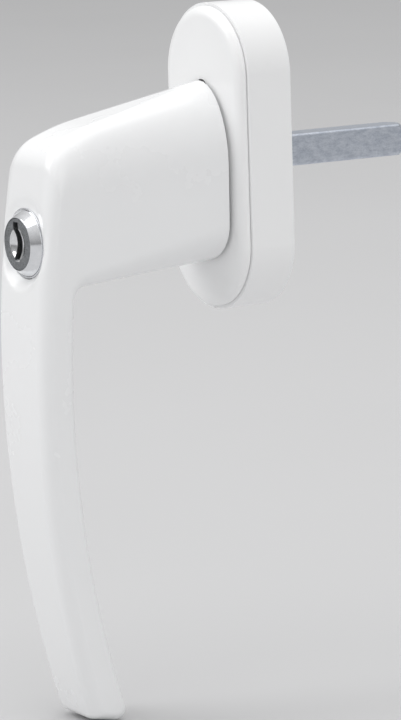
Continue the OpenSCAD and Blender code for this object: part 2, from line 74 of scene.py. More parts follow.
class Bench:
    """Modelling steps that every sub-assembly shares. Sizes are in millimetres."""

    @staticmethod
    def clear() -> None:
        """Goes to object mode with nothing selected."""
        active = bpy.context.view_layer.objects.active
        if active is not None and active.mode != "OBJECT":
            bpy.ops.object.mode_set(mode="OBJECT")
        bpy.ops.object.select_all(action="DESELECT")

    @staticmethod
    def only(piece: bpy.types.Object) -> None:
        """Selects the piece alone and makes it active."""
        Bench.clear()
        piece.select_set(True)
        bpy.context.view_layer.objects.active = piece

    @staticmethod
    def settle(name: str) -> bpy.types.Object:
        """Names the active object and moves its place into its mesh.

        Args:
            name: The piece's name.

        Returns:
            The piece, at the origin, unturned and unscaled.
        """
        piece = bpy.context.active_object
        piece.name = name
        piece.data.name = name
        Bench.only(piece)
        bpy.ops.object.transform_apply(location=True, rotation=True, scale=True)
        return piece

    @staticmethod
    def rod(name: str, radius: float, front: float, back: float, z: float = 0.0,
            x: float = 0.0, front_radius: float | None = None,
            sides: int = 96) -> bpy.types.Object:
        """Adds a round bar or cone along Y between two depths.

        Args:
            name: The piece's name.
            radius: Radius at the back.
            front: Depth of the front end, in front of the mounting plane.
            back: Depth of the back end.
            z: Height of its axis.
            x: Sideways place of its axis.
            front_radius: Radius at the front where it differs.
            sides: Number of facets round it.

        Returns:
            The new object.
        """
        Bench.clear()
        bpy.ops.mesh.primitive_cone_add(
            vertices=sides, radius1=radius * MM,
            radius2=(radius if front_radius is None else front_radius) * MM,
            depth=(front - back) * MM, rotation=(math.pi / 2, 0, 0),
            location=(x * MM, -(front + back) / 2 * MM, z * MM))
        return Bench.settle(name)

    @staticmethod
    def bar(name: str, radius: float, length: float, centre: tuple[float, float, float],
            rotation: tuple[float, float, float] = (0.0, 0.0, 0.0)) -> bpy.types.Object:
        """Adds an upright cylinder about a centre, or a turned one."""
        Bench.clear()
        bpy.ops.mesh.primitive_cylinder_add(
            vertices=48, radius=radius * MM, depth=length * MM, rotation=rotation,
            location=[c * MM for c in centre])
        return Bench.settle(name)

    @staticmethod
    def block(name: str, size: tuple[float, float, float],
              centre: tuple[float, float, float]) -> bpy.types.Object:
        """Adds a box of that size about a centre, all in millimetres."""
        Bench.clear()
        bpy.ops.mesh.primitive_cube_add(size=1, location=[c * MM for c in centre],
                                        scale=[s * MM for s in size])
        return Bench.settle(name)

    @staticmethod
    def turned(name: str, profile: list[Point2], z: float, sides: int = 96,
               closed: bool = False) -> bpy.types.Object:
        """Spins a profile about an axis along Y.

        Args:
            name: The piece's name.
            profile: Points as (radius, depth), drawn with extruded edges.
            z: Height of the axis.
            sides: Steps of the spin.
            closed: Whether the profile returns to its first point.

        Returns:
            The new object.
        """
        Bench.clear()
        first = profile[0]
        bpy.ops.mesh.primitive_plane_add(
            size=MM, location=(first[0] * MM, -first[1] * MM, z * MM))
        bpy.ops.object.mode_set(mode="EDIT")
        bpy.ops.mesh.select_mode(type="VERT")
        bpy.ops.mesh.select_all(action="SELECT")
        bpy.ops.mesh.merge(type="CENTER")
        stops = profile[1:] + ([first] if closed else [])
        last = first
        for stop in stops:
            step = ((stop[0] - last[0]) * MM, -(stop[1] - last[1]) * MM, 0.0)
            bpy.ops.mesh.extrude_region_move(TRANSFORM_OT_translate={"value": step})
            last = stop
        bpy.ops.mesh.select_all(action="SELECT")
        bpy.ops.mesh.spin(steps=sides, angle=2 * math.pi, center=(0, 0, z * MM),
                          axis=(0, 1, 0))
        Bench.close_up(1e-6)
        return Bench.settle(name)

    @staticmethod
    def close_up(distance: float) -> None:
        """In edit mode, merges doubles, points the faces outwards and leaves edit mode."""
        bpy.ops.mesh.select_mode(type="VERT")
        bpy.ops.mesh.select_all(action="SELECT")
        bpy.ops.mesh.remove_doubles(threshold=distance)
        bpy.ops.mesh.normals_make_consistent(inside=False)
        bpy.ops.object.mode_set(mode="OBJECT")

    @staticmethod
    def modify(piece: bpy.types.Object, kind: str, **values: object) -> None:
        """Adds a modifier with those values and applies it."""
        Bench.only(piece)
        bpy.ops.object.modifier_add(type=kind)
        modifier = piece.modifiers[-1]
        for key, value in values.items():
            setattr(modifier, key, value)
        bpy.ops.object.modifier_apply(modifier=modifier.name)

    @staticmethod
    def work(piece: bpy.types.Object, tools: Iterable[bpy.types.Object],
             how: Cut = Cut.AWAY) -> None:
        """Cuts a piece with tool solids, one after another, and removes the tools."""
        for tool in tools:
            Bench.modify(piece, "BOOLEAN", operation=how.value, solver="EXACT", object=tool)
            mesh = tool.data
            bpy.data.objects.remove(tool)
            bpy.data.meshes.remove(mesh)

    @staticmethod
    def pick(piece: bpy.types.Object, mode: str,
             test: Callable[[Vector], bool]) -> None:
        """Enters edit mode with only those vertices, edges or faces selected.

        Args:
            piece: The object to work on.
            mode: VERT, EDGE or FACE.
            test: Says for a vertex's place, or for the middle of an edge or face, in
                millimetres, whether it is selected.
        """
        Bench.only(piece)
        bpy.ops.object.mode_set(mode="EDIT")
        bpy.ops.mesh.select_mode(type=mode)
        bpy.ops.mesh.select_all(action="DESELECT")
        bpy.ops.object.mode_set(mode="OBJECT")
        mesh = piece.data
        points = [v.co / MM for v in mesh.vertices]
        if mode == "VERT":
            for vertex in mesh.vertices:
                vertex.select = test(points[vertex.index])
        elif mode == "EDGE":
            for edge in mesh.edges:
                a, b = edge.vertices
                edge.select = test(points[a]) and test(points[b])
        else:
            for face in mesh.polygons:
                face.select = test(face.center / MM)
        bpy.ops.object.mode_set(mode="EDIT")

    @staticmethod
    def soften(piece: bpy.types.Object, width: float, segments: int = 3,
               angle: float = 35.0) -> None:
        """Rounds every edge sharper than an angle."""
        Bench.modify(piece, "BEVEL", width=width * MM, segments=segments,
                     limit_method="ANGLE", angle_limit=math.radians(angle),
                     use_clamp_overlap=True, miter_outer="MITER_ARC")

    @staticmethod
    def finish(piece: bpy.types.Object, material: bpy.types.Material,
               angle: float = 32.0) -> None:
        """Shades a piece smooth between sharp edges, weights its normals and dresses it."""
        Bench.only(piece)
        bpy.ops.object.shade_smooth_by_angle(angle=math.radians(angle))
        Bench.modify(piece, "WEIGHTED_NORMAL", mode="FACE_AREA", keep_sharp=True)
        piece.data.materials.clear()
        piece.data.materials.append(material)


# ---------------------------------------------------------------- finishes

class Nodes:
    """A node tree with short calls for making and joining nodes."""

    def __init__(self, tree: bpy.types.NodeTree) -> None:
        """Keeps the tree."""
        self.tree = tree

    def add(self, kind: str, **values: object) -> bpy.types.Node:
        """Adds a node and sets its properties."""
        node = self.tree.nodes.new(kind)
        for key, value in values.items():
            setattr(node, key, value)
        return node

    def join(self, source: Socket, target: Socket) -> None:
        """Links two sockets."""
        self.tree.links.new(source, target)

    def put(self, source: Socket | float, target: Socket) -> None:
        """Links a socket, or sets a plain number."""
        if isinstance(source, (int, float)):
            target.default_value = source
        else:
            self.join(source, target)

    def maths(self, how: str, a: Socket | float, b: Socket | float = 0.0) -> Socket:
        """Returns the result of a Math node."""
        node = self.add("ShaderNodeMath", operation=how)
        self.put(a, node.inputs[0])
        self.put(b, node.inputs[1])
        return node.outputs[0]

    def spread(self, mask: Socket, low: float, high: float, start: float = 0.0,
               end: float = 1.0) -> Socket:
        """Maps a mask from one range to another."""
        node = self.add("ShaderNodeMapRange")
        self.join(mask, node.inputs["Value"])
        for name, value in (("From Min", start), ("From Max", end),
                            ("To Min", low), ("To Max", high)):
            node.inputs[name].default_value = value
        return node.outputs["Result"]

    def blend(self, mask: Socket, first: tuple, second: tuple) -> Socket:
        """Mixes two colours by a mask."""
        node = self.add("ShaderNodeMix", data_type="RGBA")
        self.join(mask, node.inputs["Factor"])
        node.inputs["A"].default_value = (*first, 1.0)
        node.inputs["B"].default_value = (*second, 1.0)
        return node.outputs["Result"]

    def noise(self, where: Socket, scale: Socket | float, detail: float = 2.0,
              roughness: float = 0.5) -> Socket:
        """Returns the value of a Noise texture."""
        node = self.add("ShaderNodeTexNoise")
        self.join(where, node.inputs["Vector"])
        self.put(scale, node.inputs["Scale"])
        node.inputs["Detail"].default_value = detail
        node.inputs["Roughness"].default_value = roughness
        return node.outputs["Fac"]

    def bump(self, height: Socket, distance: float, strength: float = 1.0,
             under: Socket | None = None) -> Socket:
        """Returns a Bump node's normal, over another where there is one."""
        node = self.add("ShaderNodeBump")
        node.inputs["Strength"].default_value = strength
        node.inputs["Distance"].default_value = distance
        self.join(height, node.inputs["Height"])
        if under is not None:
            self.join(under, node.inputs["Normal"])
        return node.outputs["Normal"]


class SurfaceEffects:
    """Node groups that several finishes share."""

    def __init__(self) -> None:
        """Builds each group once."""
        self.mottle = self._mottle()
        self.speckle = self._speckle()
        self.rings = self._rings()

    @staticmethod
    def _group(name: str, inputs: dict[str, float]) -> tuple[Nodes, Socket, bpy.types.Node]:
        """Starts a group.

        Args:
            name: The group's name.
            inputs: Float inputs and their defaults, beside the Vector input.

        Returns:
            The tree, the group's input node and its output node.
        """
        tree = bpy.data.node_groups.new(name, "ShaderNodeTree")
        tree.interface.new_socket("Vector", in_out="INPUT", socket_type="NodeSocketVector")
        for key, value in inputs.items():
            socket = tree.interface.new_socket(key, in_out="INPUT",
                                               socket_type="NodeSocketFloat")
            socket.default_value = value
        tree.interface.new_socket("Mask", in_out="OUTPUT", socket_type="NodeSocketFloat")
        nodes = Nodes(tree)
        return nodes, nodes.add("NodeGroupInput"), nodes.add("NodeGroupOutput")

    def _mottle(self) -> bpy.types.NodeTree:
        """Soft patches of two sizes, as on plated or cast metal."""
        nodes, start, end = self._group("mottled_patches", {"Scale": 400.0, "Fine": 3.2})
        where = start.outputs["Vector"]
        broad = nodes.noise(where, start.outputs["Scale"], 3.0, 0.55)
        fine_scale = nodes.maths("MULTIPLY", start.outputs["Scale"], start.outputs["Fine"])
        fine = nodes.noise(where, fine_scale, 4.0, 0.65)
        both = nodes.maths("ADD", nodes.maths("MULTIPLY", broad, 0.6),
                           nodes.maths("MULTIPLY", fine, 0.4))
        nodes.join(nodes.spread(both, 0.0, 1.0, 0.36, 0.64), end.inputs["Mask"])
        return nodes.tree

    def _speckle(self) -> bpy.types.NodeTree:
        """Small pits scattered over a blasted or bare surface."""
        nodes, start, end = self._group("fine_speckle", {"Scale": 4000.0, "Cover": 0.5})
        cells = nodes.add("ShaderNodeTexVoronoi")
        nodes.join(start.outputs["Vector"], cells.inputs["Vector"])
        nodes.join(start.outputs["Scale"], cells.inputs["Scale"])
        cells.inputs["Randomness"].default_value = 1.0
        pit = nodes.maths("SUBTRACT", start.outputs["Cover"], cells.outputs["Distance"])
        nodes.join(nodes.spread(pit, 0.0, 1.0, 0.0, 0.3), end.inputs["Mask"])
        return nodes.tree

    def _rings(self) -> bpy.types.NodeTree:
        """Faint turning marks round an axis along Y at a given height."""
        nodes, start, end = self._group("turning_marks", {"Height": 0.0, "Scale": 9000.0})
        parts = nodes.add("ShaderNodeSeparateXYZ")
        nodes.join(start.outputs["Vector"], parts.inputs[0])
        rise = nodes.maths("SUBTRACT", parts.outputs["Z"], start.outputs["Height"])
        radius = nodes.maths("SQRT", nodes.maths(
            "ADD", nodes.maths("MULTIPLY", parts.outputs["X"], parts.outputs["X"]),
            nodes.maths("MULTIPLY", rise, rise)))
        along = nodes.add("ShaderNodeCombineXYZ")
        nodes.join(radius, along.inputs["X"])
        nodes.join(parts.outputs["Y"], along.inputs["Y"])
        lines = nodes.noise(along.outputs[0], start.outputs["Scale"], 2.0, 0.6)
        nodes.join(lines, end.inputs["Mask"])
        return nodes.tree


class Paint:
    """A material being built: its tree, shader and Object coordinates."""

    def __init__(self, name: str) -> None:
        """Starts a material with a Principled shader."""
        self.material = bpy.data.materials.new(name)
        self.material.use_nodes = True
        self.nodes = Nodes(self.material.node_tree)
        self.material.node_tree.nodes.clear()
        self.shader = self.nodes.add("ShaderNodeBsdfPrincipled")
        output = self.nodes.add("ShaderNodeOutputMaterial")
        self.nodes.join(self.shader.outputs["BSDF"], output.inputs["Surface"])
        self.where = self.nodes.add("ShaderNodeTexCoord").outputs["Object"]

    def effect(self, group: bpy.types.NodeTree, **values: float) -> Socket:
        """Places a shared effect and returns its mask."""
        node = self.nodes.add("ShaderNodeGroup", node_tree=group)
        self.nodes.join(self.where, node.inputs["Vector"])
        for key, value in values.items():
            node.inputs[key].default_value = value
        return node.outputs["Mask"]

    def set(self, **values: object) -> None:
        """Sets plain values on the shader's own sockets, with _ for a space."""
        for key, value in values.items():
            self.shader.inputs[key.replace("_", " ")].default_value = value

    def feed(self, name: str, source: Socket) -> None:
        """Links a socket to one of the shader's inputs."""
        self.nodes.join(source, self.shader.inputs[name])


@dataclass(frozen=True)
class SmoothWhite:
    """White powder coat or moulding: semi-gloss, with a faint waviness under the gloss."""

    name: str
    colour: tuple[float, float, float]
    shade: tuple[float, float, float]
    roughness: float
    wave_scale: float
    wave_height: float
    coat: float

    def make(self, effects: SurfaceEffects) -> bpy.types.Material:
        """Builds the material."""
        paint = Paint(self.name)
        nodes = paint.nodes
        patches = paint.effect(effects.mottle, Scale=24.0, Fine=2.5)
        paint.feed("Base Color", nodes.blend(patches, self.colour, self.shade))
        paint.feed("Roughness", nodes.spread(patches, self.roughness - 0.012,
                                             self.roughness + 0.012))
        wave = nodes.noise(paint.where, self.wave_scale, 0.0, 0.4)
        paint.feed("Normal", nodes.bump(wave, self.wave_height))
        paint.set(IOR=1.5, Coat_Weight=self.coat, Coat_Roughness=0.12)
        return paint.material


@dataclass(frozen=True)
class MottledPlate:
    """Plated or bare metal with soft patches, fine scratches and pits."""

    name: str
    light: tuple[float, float, float]
    dark: tuple[float, float, float]
    roughness: tuple[float, float]
    scale: float
    pit_scale: float
    pit_cover: float
    height: float
    grain: tuple[float, float, float] = (1.0, 1.0, 1.0)

    def make(self, effects: SurfaceEffects) -> bpy.types.Material:
        """Builds the material."""
        paint = Paint(self.name)
        nodes = paint.nodes
        stretch = nodes.add("ShaderNodeMapping")
        stretch.inputs["Scale"].default_value = self.grain
        nodes.join(paint.where, stretch.inputs["Vector"])
        paint.where = stretch.outputs["Vector"]
        patches = paint.effect(effects.mottle, Scale=self.scale)
        pits = paint.effect(effects.speckle, Scale=self.pit_scale, Cover=self.pit_cover)
        tone = nodes.maths("MAXIMUM", patches, nodes.maths("MULTIPLY", pits, 0.7))
        paint.feed("Base Color", nodes.blend(tone, self.light, self.dark))
        paint.feed("Roughness", nodes.spread(tone, *self.roughness))
        relief = nodes.maths("SUBTRACT", patches, nodes.maths("MULTIPLY", pits, 1.2))
        paint.feed("Normal", nodes.bump(relief, self.height))
        paint.set(Metallic=1.0)
        return paint.material


@dataclass(frozen=True)
class TurnedMetal:
    """Polished or blasted metal, turned round the lock's axis."""

    name: str
    light: tuple[float, float, float]
    dark: tuple[float, float, float]
    roughness: tuple[float, float]
    height: float
    axis_height: float
    speckle_scale: float
    speckle_cover: float
    marks: float

    def make(self, effects: SurfaceEffects) -> bpy.types.Material:
        """Builds the material."""
        paint = Paint(self.name)
        nodes = paint.nodes
        rings = paint.effect(effects.rings, Height=self.axis_height, Scale=6500.0)
        pits = paint.effect(effects.speckle, Scale=self.speckle_scale,
                            Cover=self.speckle_cover)
        haze = paint.effect(effects.mottle, Scale=900.0)
        tone = nodes.maths("MAXIMUM", nodes.maths("MULTIPLY", haze, 0.35), pits)
        paint.feed("Base Color", nodes.blend(tone, self.light, self.dark))
        paint.feed("Roughness", nodes.spread(tone, *self.roughness))
        relief = nodes.maths("SUBTRACT", nodes.maths("MULTIPLY", rings, self.marks), pits)
        paint.feed("Normal", nodes.bump(relief, self.height))
        paint.set(Metallic=1.0)
        return paint.material


@dataclass(frozen=True)
class PlainMoulding:
    """Unpainted technical plastic with a fine even grain."""

    name: str
    colour: tuple[float, float, float]
    shade: tuple[float, float, float]
    roughness: float

    def make(self, effects: SurfaceEffects) -> bpy.types.Material:
        """Builds the material."""
        paint = Paint(self.name)
        nodes = paint.nodes
        patches = paint.effect(effects.mottle, Scale=300.0)
        paint.feed("Base Color", nodes.blend(patches, self.colour, self.shade))
        paint.feed("Roughness", nodes.spread(patches, self.roughness - 0.05,
                                             self.roughness + 0.05))
        grain = nodes.noise(paint.where, 5000.0, 3.0, 0.6)
        paint.feed("Normal", nodes.bump(grain, 0.00001))
        paint.set(IOR=1.48, Subsurface_Weight=0.05)
        return paint.material


class FinishSet:
    """Every finish of the handle, by the name of its material slot."""

    def __init__(self, lock_height: float) -> None:
        """Builds the materials.

        Args:
            lock_height: Height of the lock's axis, in metres.
        """
        recipes = [
            SmoothWhite("white_enamel", (0.905, 0.91, 0.915), (0.897, 0.902, 0.908), 0.27,
                        130.0, 0.000003, 0.35),
            SmoothWhite("white_cover", (0.93, 0.933, 0.936), (0.923, 0.926, 0.929), 0.3,
                        150.0, 0.000003, 0.25),
            PlainMoulding("acetal", (0.82, 0.81, 0.77), (0.76, 0.75, 0.71), 0.42),
            MottledPlate("zinc_plate", (0.68, 0.72, 0.79), (0.45, 0.49, 0.56), (0.28, 0.48),
                         900.0, 3400.0, 0.28, 0.00003, (1.0, 0.45, 1.0)),
            MottledPlate("spring_steel", (0.62, 0.62, 0.63), (0.42, 0.42, 0.44), (0.22, 0.36),
                         900.0, 4200.0, 0.2, 0.00002, (1.0, 1.0, 0.3)),
            TurnedMetal("chrome", (0.84, 0.85, 0.87), (0.62, 0.63, 0.66), (0.07, 0.2),
                        0.00001, lock_height, 2600.0, 0.16, 0.8),
            TurnedMetal("lock_face", (0.28, 0.29, 0.30), (0.07, 0.075, 0.08), (0.36, 0.6),
                        0.00006, lock_height, 2800.0, 0.42, 0.3),
            TurnedMetal("dish_polish", (0.80, 0.81, 0.82), (0.45, 0.46, 0.47), (0.1, 0.25),
                        0.000008, lock_height, 3000.0, 0.12, 0.6),
            MottledPlate("brass", (0.78, 0.62, 0.33), (0.58, 0.44, 0.21), (0.2, 0.38),
                         800.0, 3600.0, 0.2, 0.00002),
        ]
        effects = SurfaceEffects()
        self.materials = {recipe.name: recipe.make(effects) for recipe in recipes}

    def __getitem__(self, slot: str) -> bpy.types.Material:
        """Returns the material of a slot."""
        return self.materials[slot]

    def dress_nodes(self, shown: Iterable[str]) -> None:
        """Gives the CAD nodes that stay their finishes from the record's slots.

        Args:
            shown: Names of the nodes that no new piece replaces.
        """
        slots = {part["node"]: part["material_slot"] for part in frame["record"]["subparts"]}
        for node in shown:
            piece = frame["nodes"][node]
            if not piece.material_slots:
                piece.data.materials.append(None)
            for slot in piece.material_slots:
                slot.material = self[slots[node]]
            LOG.info("kept %s in %s", node, slots[node])


def install(piece: bpy.types.Object, node: str, body: str, slot: str,
            finishes: FinishSet, angle: float = 32.0) -> None:
    """Finishes a piece and puts it in the place of a CAD node.

    Args:
        piece: The new piece.
        node: The CAD node that it replaces.
        body: The body that it rides on.
        slot: Its material slot.
        finishes: The handle's finishes.
        angle: Edges sharper than this stay sharp, in degrees.
    """
    Bench.finish(piece, finishes[slot], angle)
    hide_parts(node)
    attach(piece, body)
    LOG.info("built %s, %d faces", piece.name, len(piece.data.polygons))


@dataclass(frozen=True)
class Bore:
    """A round hole along Y, from its front depth to its back depth."""

    name: str
    radius: float
    front: float
    back: float

    def tool(self, z: float = 0.0) -> bpy.types.Object:
        """Adds the hole's cutting solid at a height."""
        return Bench.rod(self.name, self.radius, self.front, self.back, z)


# ---------------------------------------------------------------- handle casting

def unit(v: Vector) -> Vector:
    """Returns the vector at length one."""
    return v.normalized()


def turn_of(v: Vector) -> float:
    """Returns a vector's direction as an angle from 0 to a full turn."""
    return math.atan2(v.y, v.x) % (2 * math.pi)


def between(a: float, b: float, t: float) -> float:
    """Returns the value a share t of the way from a to b."""
    return a + (b - a) * t


def touch(p: Vector, u: Vector, n: Vector, r: float, c: Vector, d: float, s: int) -> Vector:
    """Finds the centre of a circle that touches a line and lies at a distance from a point.

    Args:
        p: A point on the line.
        u: The line's direction.
        n: The side of the line the circle lies on.
        r: The circle's radius.
        c: The other circle's centre.
        d: Distance between the two centres.
        s: 1 for the solution further along the line, -1 for the nearer one.

    Returns:
        The circle's centre.
    """
    start = p + n * r
    offset = start - c
    along = offset.dot(u)
    return start + u * (-along + s * math.sqrt(along * along - offset.dot(offset) + d * d))


@dataclass
class EdgeInset:
    """How far an outline is moved inwards along each of its edges, and its corner radii."""

    top_neck: float = 0.0
    top_grip: float = 0.0
    front: float = 0.0
    back: float = 0.0
    tip: float = 0.0
    bottom_neck: float = 0.0
    bottom_grip: float = 0.0
    ease: float = 44.0
    roll: float = 8.0
    tip_front: float = 2.2
    tip_back: float = 2.4
    inner: float = 3.2


@dataclass
class HandleCasting:
    """The white grip and neck: a skin lofted round two outlines, bored for hub and lock."""

    projection: float = 60.35
    grip_drop: float = 119.7
    grip_thickness: float = 8.1
    half_width: float = 11.2
    width_taper: float = 0.025
    front_curve: float = 262.0
    back_curve: float = 240.0
    crown_drop: float = 45.0
    neck_top: float = 16.8
    neck_bottom: float = 22.4
    top_slope: float = 0.225
    bottom_slope: float = 0.04
    ease_turn: float = 12.0
    tip_slope: float = 0.24
    neck_face: float = 13.3
    front_round: float = 3.0
    back_round: float = 2.0
    lock_z: float = LOCK_HEIGHT
    dish_radius: float = 7.85
    dish_depth: float = 57.6
    dish_slope: float = 0.978
    dish_dip: float = 0.5
    hub_radius: float = 8.05
    hub_depth: float = 7.0
    lock_bores: tuple[Bore, ...] = (
        Bore("trim_seat", 7.7, 62.0, 57.05), Bore("lock_bore", 6.55, 64.0, 22.7),
        Bore("guide_bore", 3.9, 24.0, 14.1), Bore("bolt_bore", 2.5, 15.1, 12.3))
    slot_width: float = 2.2
    slot_front: float = 57.05
    slot_back: float = 22.7
    slot_drop: float = 6.2
    pin_radius: float = 1.275
    pin_depth: float = 44.0
    side_steps: int = 10
    middle_columns: int = 26
    counts: tuple[int, ...] = (16, 12, 22, 130, 8, 6, 8, 100, 14, 18)
    centre_front: Vector = field(init=False)
    centre_back: Vector = field(init=False)

    def __post_init__(self) -> None:
        """Works out the centres of the two long curves."""
        self.centre_front = Vector((self.front_curve - self.projection, -self.crown_drop))
        self.centre_back = Vector((self.back_curve - self.projection + self.grip_thickness,
                                   -self.crown_drop))

    def outline(self, inset: EdgeInset) -> list[Vector]:
        """Draws the handle's outline in the Y-Z plane.

        Args:
            inset: How far each edge is moved inwards, and the corner radii.

        Returns:
            Points from the top of the neck's end, round the grip, to its bottom.
        """
        front_r = self.front_curve - inset.front
        back_r = self.back_curve + inset.back
        neck_length = self.projection - self.grip_thickness - self.neck_face
        p_top = Vector((-self.neck_face, self.neck_top - inset.top_neck))
        u_top = unit(Vector((-1, -self.top_slope
                             - (inset.top_grip - inset.top_neck) / neck_length)))
        n_top = Vector((-u_top.y, u_top.x))
        a_ease = turn_of(u_top) + math.radians(self.ease_turn)
        n_ease = Vector((-math.sin(a_ease), math.cos(a_ease)))
        shift = n_top * inset.ease - n_ease * (inset.ease - inset.roll)
        c_roll = touch(p_top + shift, u_top, n_top, 0.0, self.centre_front,
                       front_r - inset.roll, 1)
        start = c_roll - shift
        c_ease = start + n_top * inset.ease
        p_tip = Vector((14.35 - self.projection, -self.grip_drop + inset.tip))
        u_tip = unit(Vector((1, -self.tip_slope)))
        n_tip = Vector((-u_tip.y, u_tip.x))
        c_tf = touch(p_tip, u_tip, n_tip, inset.tip_front, self.centre_front,
                     front_r - inset.tip_front, -1)
        c_tb = touch(p_tip, u_tip, n_tip, inset.tip_back, self.centre_back,
                     back_r + inset.tip_back, -1)
        p_bot = Vector((-self.neck_face, -self.neck_bottom + inset.bottom_neck))
        u_bot = unit(Vector((1, self.bottom_slope
                             + (inset.bottom_neck - inset.bottom_grip) / neck_length)))
        n_bot = Vector((u_bot.y, -u_bot.x))
        c_in = touch(p_bot, u_bot, n_bot, inset.inner, self.centre_back,
                     back_r - inset.inner, -1)
        turns = [(c_ease, inset.ease, turn_of(-n_top), turn_of(-n_ease)),
                 (c_roll, inset.roll, turn_of(-n_ease), turn_of(c_roll - self.centre_front)),
                 (self.centre_front, front_r, turn_of(c_roll - self.centre_front),
                  turn_of(c_tf - self.centre_front)),
                 (c_tf, inset.tip_front, turn_of(c_tf - self.centre_front), turn_of(-n_tip)),
                 (c_tb, inset.tip_back, turn_of(-n_tip),
                  turn_of(self.centre_back - c_tb) + 2 * math.pi),
                 (self.centre_back, back_r, turn_of(c_tb - self.centre_back),
                  turn_of(c_in - self.centre_back)),
                 (c_in, inset.inner, turn_of(c_in - self.centre_back), turn_of(-n_bot))]
        arcs = [[c + Vector((math.cos(t), math.sin(t))) * r
                 for t in (between(a0, a1, i / n) for i in range(n))]
                for (c, r, a0, a1), n in zip(
                    turns, (self.counts[1], self.counts[2], self.counts[3], self.counts[4],
                            self.counts[6], self.counts[7], self.counts[8]))]
        top = self._run(p_top, start, self.counts[0])
        tip = self._run(c_tf - n_tip * inset.tip_front, c_tb - n_tip * inset.tip_back,
                        self.counts[5])
        bottom = self._run(c_in - n_bot * inset.inner, p_bot, self.counts[9])
        return (top + arcs[0] + arcs[1] + arcs[2] + arcs[3] + tip + arcs[4] + arcs[5]
                + arcs[6] + bottom + [p_bot])

    @staticmethod
    def _run(p: Vector, q: Vector, n: int) -> list[Vector]:
        """Returns n points from p towards q, without q."""
        return [p.lerp(q, i / n) for i in range(n)]

    def _reach(self) -> list[float]:
        """Returns how far the rounding reaches across the width at each outline point."""
        neck_end, neck_mid, ease, roll = self.half_width - 0.1, 6.4, 6.2, 4.6
        tip, heel, under = 5.0, 3.0, self.half_width - 0.6
        n = self.counts
        pairs = [(neck_end, neck_mid), (neck_mid, ease), (ease, roll), (0.0, 0.0),
                 (self.front_round, tip), (tip, tip), (tip, self.back_round),
                 (self.back_round, self.back_round), (self.back_round, heel), (heel, under)]
        reach: list[float] = []
        for k, (a, b) in enumerate(pairs):
            if k == 3:
                reach += [between(self.front_round, roll, (1 - i / n[k]) ** 6)
                          for i in range(n[k])]
            else:
                reach += [between(a, b, i / n[k]) for i in range(n[k])]
        return reach + [under]

    @staticmethod
    def _even_out(values: list[Vector], places: list[float], widths: list[float]) -> list[Vector]:
        """Smooths values along the outline with a bell of each place's own width.

        Args:
            values: The vectors to smooth.
            places: Length along the outline at each of them.
            widths: Width of the bell at each of them.

        Returns:
            The smoothed vectors, with the two ends kept.
        """
        count = len(values)
        result = []
        for i in range(count):
            reach = min(3 * widths[i], places[i] - places[0], places[-1] - places[i])
            if reach < 1e-6:
                result.append(values[i].copy())
                continue
            total, weight = Vector((0.0,) * len(values[i])), 0.0
            for j in range(count):
                away = abs(places[j] - places[i])
                if away <= reach + 1e-9:
                    step = (places[min(j + 1, count - 1)] - places[max(j - 1, 0)]) / 2
                    share = math.exp(-0.5 * (away / widths[i]) ** 2) * step
                    total += values[j] * share
                    weight += share
            result.append(total / weight)
        return result

    def _skin_rows(self) -> list[list[Vector]]:
        """Works out the skin's points.

        Returns:
            One row of points for each outline place, from the +X side over to the -X side.
        """
        middle = self.outline(EdgeInset())
        side = self.outline(EdgeInset(17.5, 11.0, self.front_round, self.back_round, 2.6, 9.0,
                                      3.0, 30.0, 2.5, 0.8, 0.8, 5.2))
        places = [0.0]
        for a, b in zip(middle, middle[1:]):
            places.append(places[-1] + (b - a).length)
        tip_start = places[sum(self.counts[:4])]
        tip_end = places[sum(self.counts[:7])]
        widths = []
        for place in places:
            away = max(tip_start - place, place - tip_end, 0.0)
            widths.append(min(4.0, 0.35 + away * 0.15))
        drop = [Vector((s.x - m.x, s.y - m.y, r))
                for s, m, r in zip(side, middle, self._reach())]
        drop = self._even_out(drop, places, widths)
        rows = []
        for m, d in zip(middle, drop):
            edge: list[Vector] = []
            for k in range(self.side_steps + 1):
                turn = math.pi / 2 * (1 - k / self.side_steps)
                share = 1 - math.cos(math.pi / 2 - turn)
                y, z = m.x + d.x * (1 - math.cos(turn)), m.y + d.y * (1 - math.cos(turn))
                width = self.half_width + self.width_taper * (m.y + d.y)
                edge.append(Vector((width - d.z * share, y, z)))
            flat = edge[-1].x
            inner = [Vector((flat * (1 - 2 * k / self.middle_columns), edge[-1].y, edge[-1].z))
                     for k in range(1, self.middle_columns)]
            rows.append(edge + inner + [Vector((-p.x, p.y, p.z)) for p in reversed(edge)])
        return rows

    def _sink(self, p: Vector) -> Vector:
        """Presses a point of the front into the soft dish round the lock."""
        if p.y > -50.0:
            return p
        away = math.hypot(p.x, p.z - self.lock_z)
        if away > self.dish_radius + 5.0:
            return p
        floor = -(self.dish_depth + max(0.0, away - self.dish_radius) * self.dish_slope)
        blur = 0.2
        gap = floor - p.y
        lift = (gap + math.sqrt(gap * gap + blur * blur)) / 2
        fade = min(1.0, max(0.0, (self.dish_radius + 4.5 - away) / 2.0))
        edge = min(1.0, max(0.0, (self.dish_radius + 2.4 - away) / 2.2))
        dip = self.dish_dip * edge * edge * (3 - 2 * edge)
        return Vector((p.x, p.y + max(lift * fade, dip), p.z))

